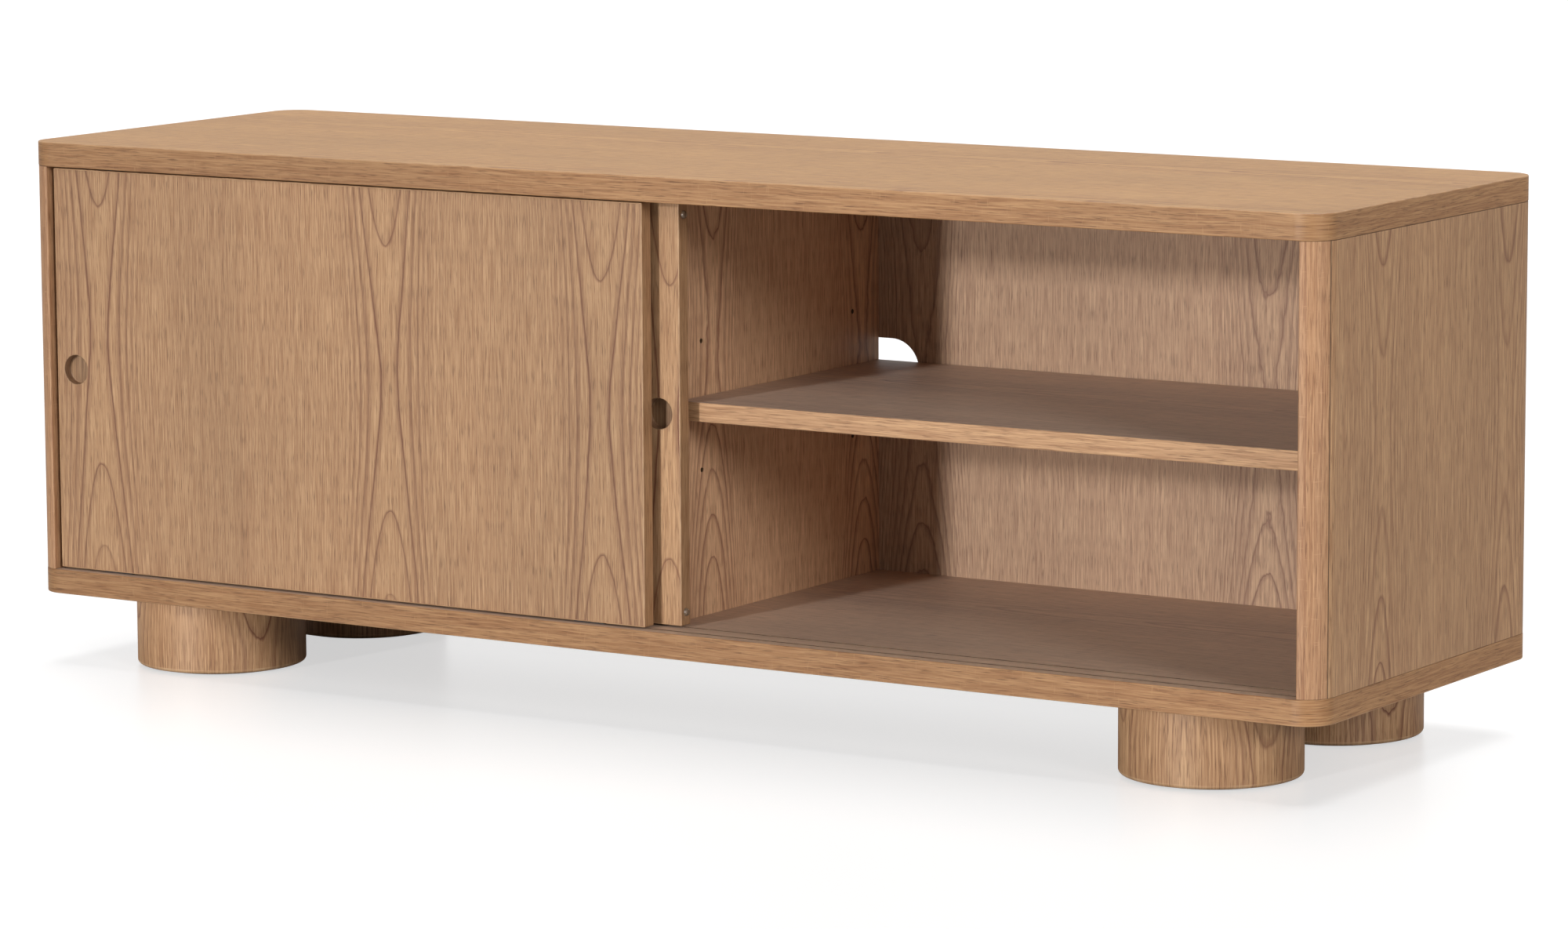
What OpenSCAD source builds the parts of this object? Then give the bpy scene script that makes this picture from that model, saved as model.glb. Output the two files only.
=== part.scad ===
// TV stand with two sliding doors: a veneered box on four drum feet.
// X runs along the width, the front faces -Y, and Z = 0 is the floor. Sizes are in millimetres.

/* [Body] */
// Width over the end panels
body_w = 1500; // [1300:10:1700]
// Depth from front to rear edge
body_d = 450; // [420:5:500]
// Clear height between the bottom and top panels
inside_h = 420; // [380:10:460]
// Thickness of the top and bottom panels
slab_t = 25; // [22:0.5:30]
// Plan radius of the four rounded corners
corner_r = 30; // [25:1:35]
// Small easing on the outer edges of the boards
arris = 1; // [0.5:0.1:1.5]

/* [Uprights] */
// Thickness of the side panels and the divider
side_t = 25; // [22:0.5:28]
// Depth of the solid posts at the front and rear of each side
post_d = 20; // [16:1:22]
// Distance of the divider and shelf front edges from the body's front edge
inner_front = 61; // [56:1:80]
// Thickness of the back panel
back_t = 8; // [6:0.5:9]
// Distance of the back panel from the body's rear edge
back_inset = 5; // [4:0.5:8]

/* [Shelves] */
// Thickness of each shelf
shelf_t = 19; // [16:0.5:22]
// Step between the shelf pin holes
pin_step = 64; // [32:32:64]
// Diameter of the shelf pins
pin_d = 5; // [4:0.5:6]

/* [Doors] */
// Thickness of each sliding door
door_t = 16; // [14:0.5:18]
// Distance of the front door's face from the body's front edge
door_inset = 8; // [5:0.5:10]
// Distance from one door's face to the other's
track_pitch = 25; // [22:0.5:28]
// Gap above and below each door
door_gap = 2; // [1.5:0.1:3]
// Overlap of the two doors when both are shut
door_overlap = 15; // [10:1:30]
// Gap between a door's edge and the side panel, filled by the bumpers
end_gap = 3.5; // [3:0.1:5]
// How far the rear door stands clear of its left stop
rear_door_out = 26.5; // [0:0.5:60]
// Diameter of the round finger pulls
pull_d = 30; // [26:1:34]
// Depth of the finger pulls
pull_depth = 9; // [6:0.5:11]

/* [Feet] */
// Height of the feet with their felt pads
foot_h = 75; // [65:1:90]
// Diameter of the feet
foot_d = 175; // [150:1:185]
// Distance of a foot's axis from the end of the body
foot_inset_x = 165; // [110:1:200]
// Distance of a foot's axis from the front or rear edge
foot_inset_y = 100; // [95:1:110]

/* [Hidden] */
$fn = 64;
eps = 0.05;
half_w = body_w / 2;
half_d = body_d / 2;
z_bottom = foot_h;
z_floor = foot_h + slab_t;
z_ceiling = z_floor + inside_h;
z_mid = z_floor + inside_h / 2;
side_in = half_w - side_t;
side_mid = half_w - side_t / 2;
front_y = -half_d + inner_front;
back_y = half_d - back_inset - back_t;
groove_d = 6;
tongue_t = 8;
bay_w = side_in - side_t / 2;
door_w = side_in + door_overlap / 2 - end_gap;
door_h = inside_h - 2 * door_gap;
door_z = z_floor + door_gap;
front_door_y = -half_d + door_inset;
rear_door_y = front_door_y + track_pitch;
front_door_x = -side_in + end_gap;
rear_door_x = front_door_x + rear_door_out;
track_w = 4;
track_depth = 6;
pull_edge = 24.5;
glide_l = 40;
glide_h = 12;
glide_t = 10;
glide_edge = 70;
bumper_d = 8;
bumper_t = 3.2;
bumper_edge = 13;
pin_in = 9;
pin_out = 8;
pin_front_y = -121;
pin_rear_y = 161;
dowel_d = 8;
dowel_l = 30;
dowel_y = 150;
cam_y = 110;
cam_d = 15;
cam_h = 12.5;
cam_reach = 34;
cam_axis = 9.5;
pad_t = 2;
pad_d = 150;
bolt_seat = foot_h - 35;
oak = [0.72, 0.54, 0.38];
oak_solid = [0.76, 0.58, 0.42];
steel = [0.62, 0.63, 0.65];
plastic = [0.15, 0.15, 0.16];
clear_gel = [0.85, 0.85, 0.83, 0.6];
felt = [0.35, 0.33, 0.31];

// Board outline with one eased edge all round, centred on the origin, standing on z = 0
module eased_slab(w, d, t, r, c) {
    union() {
        rotate([90, 0, 0])
            linear_extrude(height = d - 2 * r, center = true)
                eased_profile(w, t, c);
        rotate([90, 0, 90])
            linear_extrude(height = w - 2 * r, center = true)
                eased_profile(d, t, c);
        for (x = [-1, 1])
            for (y = [-1, 1])
                translate([x * (w / 2 - r), y * (d / 2 - r), 0])
                    rotate_extrude()
                        eased_half_profile(r, t, c);
    }
}

// Cross-section of an eased board
module eased_profile(w, t, c) {
    polygon([
        [-w / 2 + c, 0], [w / 2 - c, 0], [w / 2, c], [w / 2, t - c],
        [w / 2 - c, t], [-w / 2 + c, t], [-w / 2, t - c], [-w / 2, c]
    ]);
}

// Cross-section of an eased corner, turned about its axis
module eased_half_profile(r, t, c) {
    polygon([[0, 0], [r - c, 0], [r, c], [r, t - c], [r - c, t], [0, t]]);
}

// Board with all of its edges eased, from a corner at the origin
module eased_board(w, d, h, c) {
    intersection() {
        translate([w / 2, d / 2, 0])
            linear_extrude(height = h)
                translate([0, -d / 2])
                    eased_profile(w, d, c);
        translate([w / 2, d, 0])
            rotate([90, 0, 0])
                linear_extrude(height = d)
                    eased_profile(w, h, c);
        translate([0, d / 2, 0])
            rotate([90, 0, 90])
                linear_extrude(height = w)
                    eased_profile(d, h, c);
    }
}

// Upright hole or pin, standing on z
module peg(x, y, z, d, h) {
    translate([x, y, z])
        cylinder(d = d, h = h);
}

// One copy for every upright: both sides and the divider
module at_uprights(y) {
    for (x = [-side_mid, 0, side_mid])
        for (k = [-1, 1])
            translate([x, k * y, 0])
                children();
}

// Lines of the cam fittings: near the inner face of each side, near the divider's left face
module at_cams() {
    for (x = [-side_in - cam_axis, -side_t / 2 + cam_axis, side_in + cam_axis])
        for (k = [-1, 1])
            translate([x, k * cam_y, 0])
                children();
}

// One copy on the axis of every foot
module at_feet() {
    for (x = [-1, 1])
        for (y = [-1, 1])
            translate([x * (half_w - foot_inset_x), y * (half_d - foot_inset_y), 0])
                children();
}

// The two door grooves, cut between the side panels
module door_grooves(z) {
    for (y = [front_door_y, rear_door_y])
        translate([-side_in, y + door_t / 2 - track_w / 2, z])
            cube([2 * side_in, track_w, track_depth + eps]);
}

// Groove for the back panel's edge
module back_groove(z) {
    translate([-side_in - groove_d - 0.2, back_y - 0.1, z])
        cube([2 * (side_in + groove_d + 0.2), back_t + 0.2, groove_d + 0.2 + eps]);
}

// Top panel: veneered board with door grooves and fitting holes in its underside
module top_panel() {
    color(oak)
    difference() {
        translate([0, 0, z_ceiling])
            eased_slab(body_w, body_d, slab_t, corner_r, arris);
        door_grooves(z_ceiling - eps);
        back_groove(z_ceiling - eps);
        at_uprights(dowel_y)
            peg(0, 0, z_ceiling - 1, dowel_d, 13);
        at_cams()
            peg(0, 0, z_ceiling - 1, 5.1, 13);
    }
}

// Bottom panel: the same board, with the foot fixings below
module bottom_panel() {
    color(oak)
    difference() {
        translate([0, 0, z_bottom])
            eased_slab(body_w, body_d, slab_t, corner_r, arris);
        door_grooves(z_floor - track_depth);
        back_groove(z_floor - groove_d - 0.2);
        at_uprights(dowel_y)
            peg(0, 0, z_floor - 12, dowel_d, 13);
        at_cams()
            peg(0, 0, z_floor - 12, 5.1, 13);
        at_feet() {
            peg(0, 0, z_bottom - 1, 12, 15);
            peg(50, 0, z_bottom - 1, dowel_d, 13);
        }
    }
}

// Four shelf pin columns bored in the face at x; dir points into the board
module pin_holes(x, dir) {
    for (y = [pin_front_y, pin_rear_y])
        for (k = [-1, 0, 1])
            translate([x - dir, y, z_mid + k * pin_step])
                rotate([0, dir * 90, 0])
                    cylinder(d = pin_d, h = 11);
}

// Fitting holes in both ends of an upright, for the dowels and the cam fittings
module end_holes(x_dowel, x_cam, x_face, dir) {
    for (k = [-1, 1]) {
        for (z = [z_floor - 1, z_ceiling - 20])
            peg(x_dowel, k * dowel_y, z, dowel_d, 21);
        peg(x_cam, k * cam_y, z_floor - 1, dowel_d, cam_reach + 1);
        peg(x_cam, k * cam_y, z_ceiling - cam_reach, dowel_d, cam_reach + 1);
        for (z = [z_floor + cam_reach, z_ceiling - cam_reach])
            translate([x_face - dir, k * cam_y, z])
                rotate([0, dir * 90, 0])
                    cylinder(d = cam_d, h = cam_h + 1.5);
    }
}

// The disc that rounds one corner of the body in plan
module corner_disc(s, f) {
    translate([s * (half_w - corner_r), f * (half_d - corner_r)])
        circle(r = corner_r);
}

// Plan outline of a side panel, which carries the last of the corner rounding beside each post
module side_outline(s) {
    union() {
        translate([s * side_mid, 0])
            square([side_t, 2 * (half_d - corner_r)], center = true);
        for (f = [-1, 1])
            intersection() {
                translate([s * side_mid, f * (half_d - (corner_r + post_d) / 2 - 0.5)])
                    square([side_t, corner_r - post_d + 1], center = true);
                corner_disc(s, f);
            }
    }
}

// Side panel: vertical-grain board with a groove in each long edge for the posts
module side_panel(s) {
    color(oak)
    difference() {
        translate([0, 0, z_floor])
            linear_extrude(height = inside_h)
                side_outline(s);
        for (k = [-1, 1])
            translate([s * side_mid, k * (half_d - post_d - 2.7), z_mid])
                cube([tongue_t + 0.2, 7.4, inside_h + 2], center = true);
        pin_holes(s * side_in, s);
        end_holes(s * side_mid, s * (side_in + cam_axis), s * side_in, s);
    }
}

// Corner post: solid wood, rounded to the body's corner, with a tongue into the side panel
module post(s, f) {
    color(oak_solid)
    difference() {
        translate([0, 0, z_floor])
            linear_extrude(height = inside_h)
                union() {
                    intersection() {
                        translate([s * side_mid, f * (half_d - post_d / 2)])
                            square([side_t, post_d], center = true);
                        corner_disc(s, f);
                    }
                    translate([s * side_mid, f * (half_d - post_d - 2.5)])
                        square([tongue_t, 7], center = true);
                }
        if (f > 0)
            translate([0, back_y + back_t / 2, z_mid])
                cube([2 * (side_in + groove_d + 0.2), back_t + 0.2, inside_h + 2], center = true);
    }
}

// Divider between the two bays, with its front edge behind the doors
module centre_divider() {
    color(oak)
    difference() {
        translate([0, 0, z_floor])
            linear_extrude(height = inside_h)
                polygon([
                    [-side_t / 2 + arris, front_y], [side_t / 2 - arris, front_y],
                    [side_t / 2, front_y + arris], [side_t / 2, back_y],
                    [-side_t / 2, back_y], [-side_t / 2, front_y + arris]
                ]);
        pin_holes(side_t / 2, -1);
        pin_holes(-side_t / 2, 1);
        end_holes(0, -side_t / 2 + cam_axis, -side_t / 2, 1);
        for (z = [z_mid - 130, z_mid + 130])
            translate([0, back_y + 1, z])
                rotate([90, 0, 0])
                    cylinder(d = 3.6, h = 29);
    }
}

// Back panel: one thin board held in grooves all round, with a cable slot behind the divider
module back_panel() {
    color(oak)
    difference() {
        translate([-side_in - groove_d, back_y, z_floor - groove_d])
            cube([2 * (side_in + groove_d), back_t, inside_h + 2 * groove_d]);
        translate([0, back_y - 1, z_mid])
            rotate([-90, 0, 0])
                linear_extrude(height = back_t + 2)
                    union() {
                        square([58, 64], center = true);
                        for (x = [-29, 29])
                            translate([x, 0])
                                circle(d = 64);
                    }
        for (z = [z_mid - 130, z_mid + 130])
            translate([0, back_y - 1, z])
                rotate([-90, 0, 0])
                    cylinder(d = 4.2, h = back_t + 2);
    }
}

// Two screws through the back panel into the divider's rear edge
module back_panel_screws() {
    color(steel)
    for (z = [z_mid - 130, z_mid + 130])
        translate([0, back_y + back_t, z])
            rotate([90, 0, 0])
                difference() {
                    union() {
                        translate([0, 0, -2.4])
                            cylinder(d = 8, h = 2.4);
                        translate([0, 0, -1])
                            cylinder(d = 3.5, h = back_t + 28);
                    }
                    translate([0, 0, -3])
                        cube([5, 1, 2.6], center = true);
                    translate([0, 0, -3])
                        cube([1, 5, 2.6], center = true);
                }
}

// Shelf: board with a slot below each pin place, so that it drops over the pins and hides them
module shelf(x0) {
    w = bay_w - 1.5;
    d = back_y - 2 - front_y;
    z = z_mid - shelf_t / 2;
    color(oak)
    difference() {
        translate([x0 + 0.75, front_y, z])
            rotate([90, 0, 90])
                linear_extrude(height = w)
                    polygon([
                        [arris, 0], [d, 0], [d, shelf_t], [arris, shelf_t],
                        [0, shelf_t - arris], [0, arris]
                    ]);
        for (x = [x0 + 0.75, x0 + 0.75 + w])
            for (y = [pin_front_y, pin_rear_y])
                translate([x, y, z + shelf_t / 4 + pin_d / 4])
                    cube([20, pin_d + 1, shelf_t / 2 + pin_d / 2 + 0.1], center = true);
    }
}

// Four plain pins for one shelf, in their middle holes
module shelf_pins(x0) {
    color(steel)
    for (x = [x0 - pin_in, x0 + bay_w - pin_out])
        for (y = [pin_front_y, pin_rear_y])
            translate([x, y, z_mid])
                rotate([0, 90, 0])
                    cylinder(d = pin_d - 0.1, h = pin_in + pin_out);
}

// Door: board with a round blind finger pull and pockets for its glides and guides
module door(x, y, pull_x) {
    color(oak)
    difference() {
        translate([x, y, door_z])
            eased_board(door_w, door_t, door_h, arris);
        translate([pull_x, y, z_mid])
            rotate([-90, 0, 0])
                rotate_extrude()
                    polygon([
                        [0, -1], [pull_d / 2 + arris + 1, -1],
                        [pull_d / 2, arris], [pull_d / 2, pull_depth], [0, pull_depth]
                    ]);
        for (k = [glide_edge, door_w - glide_edge])
            translate([x + k, y + door_t / 2, door_z + glide_h / 2 - 0.5])
                cube([glide_l, glide_t, glide_h + 1], center = true);
        for (k = [glide_edge, door_w - glide_edge])
            translate([x + k, y + door_t / 2, door_z + door_h - glide_h / 2 + 0.5])
                cube([glide_l, glide_t, glide_h + 1], center = true);
    }
}

// Two moulded glides under a door: a block in the board and a tongue down in the groove
module glides(x, y) {
    color(plastic)
    for (k = [glide_edge, door_w - glide_edge])
        translate([x + k, y + door_t / 2, door_z])
            union() {
                translate([0, 0, glide_h / 2])
                    cube([glide_l, glide_t, glide_h], center = true);
                translate([-glide_l / 2 + 2, -1.7, -door_gap - track_depth + 0.2])
                    cube([glide_l - 4, 3.4, door_gap + track_depth]);
            }
}

// Two guides on top of a door: a block in the board and a round pin up in the groove
module top_guides(x, y) {
    color(plastic)
    for (k = [glide_edge, door_w - glide_edge])
        translate([x + k, y + door_t / 2, door_z + door_h])
            union() {
                translate([0, 0, -glide_h / 2])
                    cube([glide_l, glide_t, glide_h], center = true);
                translate([0, 0, -1])
                    cylinder(d = 3.4, h = 1 + door_gap + track_depth - 1);
            }
}

// Two clear stick-on bumpers on one upright edge of a door
module bumpers(x, y, dir) {
    color(clear_gel)
    for (z = [door_z + bumper_edge, door_z + door_h - bumper_edge])
        translate([x, y + door_t / 2, z])
            rotate([0, dir * 90, 0])
                rotate_extrude()
                    polygon([
                        [0, 0], [bumper_d / 2, 0], [bumper_d / 2 - 0.4, bumper_t * 0.55],
                        [bumper_d / 2 - 1.3, bumper_t * 0.9], [1.6, bumper_t], [0, bumper_t]
                    ]);
}

// Foot: veneered drum with a rounded lower edge, bored for its bolt and dowel
module foot(x, y) {
    color(oak)
    translate([x * (half_w - foot_inset_x), y * (half_d - foot_inset_y), pad_t])
        difference() {
            rotate_extrude()
                difference() {
                    square([foot_d / 2, foot_h - pad_t]);
                    difference() {
                        translate([foot_d / 2 - 4, -1])
                            square([5, 5]);
                        translate([foot_d / 2 - 4, 4])
                            circle(r = 4);
                    }
                }
            peg(0, 0, -1, 20, bolt_seat - pad_t + 1);
            peg(0, 0, 0, 9, foot_h);
            peg(50, 0, foot_h - pad_t - 12, dowel_d, 13);
        }
}

// One bolt up through each foot, its socket head in the counterbore
module foot_bolts() {
    color(steel)
    at_feet()
        difference() {
            union() {
                peg(0, 0, bolt_seat - 8, 13, 8);
                peg(0, 0, bolt_seat - 1, 7.9, 48);
            }
            translate([0, 0, bolt_seat - 9])
                cylinder(d = 7, h = 5, $fn = 6);
        }
}

// Flanged insert nuts pressed into the bottom panel
module foot_insert_nuts() {
    color(steel)
    at_feet()
        difference() {
            peg(0, 0, z_bottom + 0.5, 11.9, 13);
            peg(0, 0, z_bottom, 8, 15);
        }
}

// One dowel beside each bolt keeps the foot from turning
module foot_dowels() {
    color(oak_solid)
    at_feet()
        peg(50, 0, z_bottom - 11, dowel_d - 0.1, 22);
}

// Felt disc stuck under each foot
module foot_pads() {
    color(felt)
    at_feet()
        cylinder(d = pad_d, h = pad_t);
}

// Glued dowels between the uprights and the panel that starts at z
module dowels(z) {
    color(oak_solid)
    at_uprights(dowel_y)
        peg(0, 0, z, dowel_d - 0.1, dowel_l);
}

// Cam bolts: thread in the panel, head in the cam; up is 1 above the uprights and -1 below
module cam_bolts(z, up) {
    color(steel)
    at_cams()
        translate([0, 0, z])
            rotate([up > 0 ? 0 : 180, 0, 0])
                union() {
                    peg(0, 0, -cam_reach - 1.5, 6.4, 3);
                    peg(0, 0, -cam_reach, 4, cam_reach);
                    peg(0, 0, -0.5, 5, 11);
                }
}

// Cam locks: round, flush with the upright's face, with a cross slot for the screwdriver
module cam_locks(z, up) {
    color(steel)
    for (x = [-side_in, -side_t / 2, side_in])
        for (k = [-1, 1])
            translate([x, k * cam_y, z])
                rotate([0, (x > -side_t ? 90 : -90), 0])
                    cam_lock(x > -side_t ? up : -up);
}

// One cam lock with its face at the origin, set into +Z; side tells which way the bolt comes
module cam_lock(side) {
    difference() {
        cylinder(d = cam_d - 0.2, h = cam_h);
        translate([0, 0, cam_axis])
            rotate([0, -side * 90, 0])
                cylinder(d = 7.4, h = cam_d);
        translate([0, 0, cam_axis])
            sphere(d = 7.4);
        cube([6, 1.2, 3], center = true);
        cube([1.2, 6, 3], center = true);
    }
}

top_panel();
bottom_panel();
side_panel(-1);  // left_side_panel
side_panel(1);  // right_side_panel
post(-1, -1);  // front_left_post
post(1, -1);  // front_right_post
post(-1, 1);  // rear_left_post
post(1, 1);  // rear_right_post
centre_divider();
back_panel();
back_panel_screws();
shelf(-side_in);  // left_shelf
shelf(side_t / 2);  // right_shelf
shelf_pins(-side_in);  // left_shelf_pins
shelf_pins(side_t / 2);  // right_shelf_pins
door(front_door_x, front_door_y, front_door_x + pull_edge);  // front_door
glides(front_door_x, front_door_y);  // front_door_glides
top_guides(front_door_x, front_door_y);  // front_door_top_guides
bumpers(front_door_x, front_door_y, -1);  // front_door_bumpers
door(rear_door_x, rear_door_y, rear_door_x + door_w - pull_edge);  // rear_door
glides(rear_door_x, rear_door_y);  // rear_door_glides
top_guides(rear_door_x, rear_door_y);  // rear_door_top_guides
bumpers(rear_door_x + door_w, rear_door_y, 1);  // rear_door_bumpers
foot(-1, -1);  // front_left_foot
foot(1, -1);  // front_right_foot
foot(-1, 1);  // rear_left_foot
foot(1, 1);  // rear_right_foot
foot_bolts();
foot_insert_nuts();
foot_dowels();
foot_pads();
dowels(z_ceiling - 19);  // top_dowels
dowels(z_floor - 11);  // bottom_dowels
cam_bolts(z_ceiling, 1);  // top_cam_bolts
cam_bolts(z_floor, -1);  // bottom_cam_bolts
cam_locks(z_ceiling - cam_reach, 1);  // top_cam_locks
cam_locks(z_floor + cam_reach, -1);  // bottom_cam_locks
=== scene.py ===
import math

import bmesh
import bpy
from mathutils import Matrix, Vector


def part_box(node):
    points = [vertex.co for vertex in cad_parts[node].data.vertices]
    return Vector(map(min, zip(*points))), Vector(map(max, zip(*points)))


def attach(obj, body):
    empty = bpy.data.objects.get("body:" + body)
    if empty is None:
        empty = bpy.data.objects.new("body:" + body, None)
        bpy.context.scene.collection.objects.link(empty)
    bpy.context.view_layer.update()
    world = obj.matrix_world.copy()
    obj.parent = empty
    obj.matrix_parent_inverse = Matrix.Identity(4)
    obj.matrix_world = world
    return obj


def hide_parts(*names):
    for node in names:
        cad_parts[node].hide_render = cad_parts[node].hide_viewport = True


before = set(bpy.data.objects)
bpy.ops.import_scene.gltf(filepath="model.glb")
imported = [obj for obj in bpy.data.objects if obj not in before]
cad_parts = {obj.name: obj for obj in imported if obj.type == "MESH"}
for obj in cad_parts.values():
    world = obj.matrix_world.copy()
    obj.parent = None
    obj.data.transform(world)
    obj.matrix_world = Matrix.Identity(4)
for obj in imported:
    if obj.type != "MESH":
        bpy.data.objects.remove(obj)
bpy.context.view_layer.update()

# ---------------------------------------------------------------------------------------------
# Bottom panel: a 25 mm board faced with long-grain oak veneer and lipped all round in oak strip.
# Two narrow door grooves and one for the back panel are routed in its upper face, and it is
# bored from above for the dowels and cam bolts and from below for the feet.

MM = 0.001
arris = 1.0 * MM
corner_radius = 30 * MM


def rounded(corners):
    """Outline through corners (x, y, radius), each one rounded to its own radius."""
    large = 10 * MM
    points = []
    count = len(corners)
    for i, (x, y, radius) in enumerate(corners):
        here = Vector((x, y))
        if radius == 0:
            points.append(here)
            continue
        back = (Vector(corners[i - 1][:2]) - here).normalized()
        ahead = (Vector(corners[(i + 1) % count][:2]) - here).normalized()
        half_angle = back.angle(ahead) / 2
        centre = here + (back + ahead).normalized() * radius / math.sin(half_angle)
        start = here + back * radius / math.tan(half_angle) - centre
        turn = math.pi - 2 * half_angle
        if back.cross(ahead) > 0:
            turn = -turn
        steps = 20 if radius > large else 4
        for k in range(steps + 1):
            points.append(centre + Matrix.Rotation(turn * k / steps, 2) @ start)
    return points


def drawn_in(outline, distance):
    """The same outline moved inward by a small distance."""
    moved = []
    for i, point in enumerate(outline):
        a = (point - outline[i - 1]).normalized()
        b = (outline[(i + 1) % len(outline)] - point).normalized()
        inward_a = Vector((-a.y, a.x))
        inward_b = Vector((-b.y, b.x))
        moved.append(point + (inward_a + inward_b) * distance / (1 + inward_a.dot(inward_b)))
    return moved


# How a board's outline and its thickness lie in the frame, for each axis it is swept along.
SWEPT = {
    "x": lambda a, b, h: Vector((h, a, b)),
    "y": lambda a, b, h: Vector((a, h, b)),
    "z": lambda a, b, h: Vector((a, b, h)),
}
# Finish slots: veneer face, lipping, and the dark cut core, which on eased joint edges is a painted
# shadow line
FACE, LIPPING, CORE_OR_SHADE = 0, 1, 2


def board(name, outline, swept, low, high, along, ease=arris, worn_and_highlit=()):
    """Closed board: the outline swept from low to high with both rims rounded over. The grain
    map holds metres across the grain and along it, and runs round the rim as a lipping does.
    The map of rubbed rims is 1 on the worn rims, low or high, that hands and cloths reach; these rims
    are painted paler, partly as wear and partly as a painted highlight along the arris."""
    steps = 4
    rims = []
    for side, inward in ((low, 1), (high, -1)):
        turns = [k / steps * math.pi / 2 for k in range(steps + 1)]
        rim = [(ease * (1 - math.sin(t)), side + inward * ease * (1 - math.cos(t))) for t in turns]
        rims += rim if inward > 0 else rim[::-1]
    place = SWEPT[swept]
    made = bmesh.new()
    grain = made.loops.layers.uv.new("grain")
    rubbed = made.loops.layers.uv.new("rubbed")
    rings = []
    for inset, height in rims:
        loop = drawn_in(outline, inset) if inset > 0 else outline
        rings.append([made.verts.new(place(p.x, p.y, height)) for p in loop])
    lengths = [0.0]
    for i, point in enumerate(outline):
        lengths.append(lengths[-1] + (outline[(i + 1) % len(outline)] - point).length)
    flips = swept == "y"
    for k in range(len(rings) - 1):
        on_worn_highlit_rim = (k < steps and "low" in worn_and_highlit) or (k > steps and "high" in worn_and_highlit)
        for i in range(len(outline)):
            j = (i + 1) % len(outline)
            corners = [(k, i, i), (k, j, i + 1), (k + 1, j, i + 1), (k + 1, i, i)]
            if flips:
                corners.reverse()
            face = made.faces.new([rings[r][v] for r, v, _ in corners])
            face.material_index = LIPPING
            for corner, (r, _, s) in zip(face.loops, corners):
                height = rims[r][1]
                across, running = (lengths[s], height) if along == swept else (height, lengths[s])
                corner[grain].uv = (across, running)
                corner[rubbed].uv = (1 if on_worn_highlit_rim else 0, 0)
    for ring, turned_over in ((rings[0], not flips), (rings[-1], flips)):
        face = made.faces.new(ring[::-1] if turned_over else ring)
        face.material_index = FACE
        lay_grain(face, grain, along)
    return as_object(name, made)


def lay_grain(face, grain, along):
    """Grain coordinates of a flat face, from its place and the axis that the grain follows."""
    face.normal_update()
    normal = max(range(3), key=lambda k: abs(face.normal[k]))
    running = "xyz".index(along)
    if running == normal:
        running = (normal + 1) % 3
    across = 3 - running - normal
    for corner in face.loops:
        corner[grain].uv = (corner.vert.co[across], corner.vert.co[running])


def as_object(name, made):
    """A new scene object from a finished bmesh."""
    made.normal_update()
    mesh = bpy.data.meshes.new(name)
    made.to_mesh(mesh)
    made.free()
    piece = bpy.data.objects.new(name, mesh)
    bpy.context.scene.collection.objects.link(piece)
    return piece


def box_cutter(made, low, high):
    """Adds a closed box to the cutters."""
    middle = (Vector(low) + Vector(high)) / 2
    size = Vector(high) - Vector(low)
    place = Matrix.Translation(middle) @ Matrix.Diagonal((*size, 1))
    bmesh.ops.create_cube(made, size=1, matrix=place)


def bore_cutter(made, centre, axis, radius, length):
    """Adds a closed cylinder to the cutters, centred on a point and lying along an axis."""
    lie = {"x": Matrix.Rotation(math.pi / 2, 4, "Y"), "y": Matrix.Rotation(math.pi / 2, 4, "X")}
    place = Matrix.Translation(centre) @ lie.get(axis, Matrix.Identity(4))
    ends = {"radius1": radius, "radius2": radius, "depth": length}
    bmesh.ops.create_cone(made, cap_ends=True, segments=32, matrix=place, **ends)


def laid_flat(piece, along, material_for):
    """Lays the grain on every face by its place, and picks each face's material by its normal."""
    made = bmesh.new()
    made.from_mesh(piece.data)
    grain = made.loops.layers.uv["grain"]
    for face in made.faces:
        lay_grain(face, grain, along)
        face.material_index = material_for(face.normal)
    made.to_mesh(piece.data)
    made.free()


def machined(piece, cutters, along):
    """Cuts the grooves and bores out of a board. Cut faces take the piece's third finish: mostly the
    board's unlacquered inside, and in a finger pull the painted shade of its wall.
    """
    for face in cutters.faces:
        face.material_index = CORE_OR_SHADE
    cutters.loops.layers.uv.new("grain")
    tool = as_object(piece.name + "_tool", cutters)
    cut = piece.modifiers.new("machined", "BOOLEAN")
    cut.operation = "DIFFERENCE"
    cut.solver = "EXACT"
    cut.object = tool
    shaped = piece.evaluated_get(bpy.context.evaluated_depsgraph_get())
    mesh = bpy.data.meshes.new_from_object(shaped)
    piece.modifiers.clear()
    piece.data = mesh
    bpy.data.objects.remove(tool)
    made = bmesh.new()
    made.from_mesh(mesh)
    grain = made.loops.layers.uv["grain"]
    for face in made.faces:
        if face.material_index == CORE_OR_SHADE:
            lay_grain(face, grain, along)
    made.to_mesh(mesh)
    made.free()


def solids(node):
    """The box of each separate solid in a CAD node, as (low, high) corners."""
    made = bmesh.new()
    made.from_mesh(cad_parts[node].data)
    bmesh.ops.remove_doubles(made, verts=made.verts[:], dist=1e-6)
    waiting = set(made.verts)
    boxes = []
    while waiting:
        group = [waiting.pop()]
        for vert in group:
            for edge in vert.link_edges:
                other = edge.other_vert(vert)
                if other in waiting:
                    waiting.remove(other)
                    group.append(other)
        low = Vector([min(v.co[k] for v in group) for k in range(3)])
        high = Vector([max(v.co[k] for v in group) for k in range(3)])
        boxes.append((low, high))
    made.free()
    return sorted(boxes, key=lambda b: tuple(round(c, 5) for c in b[0]))


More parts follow.
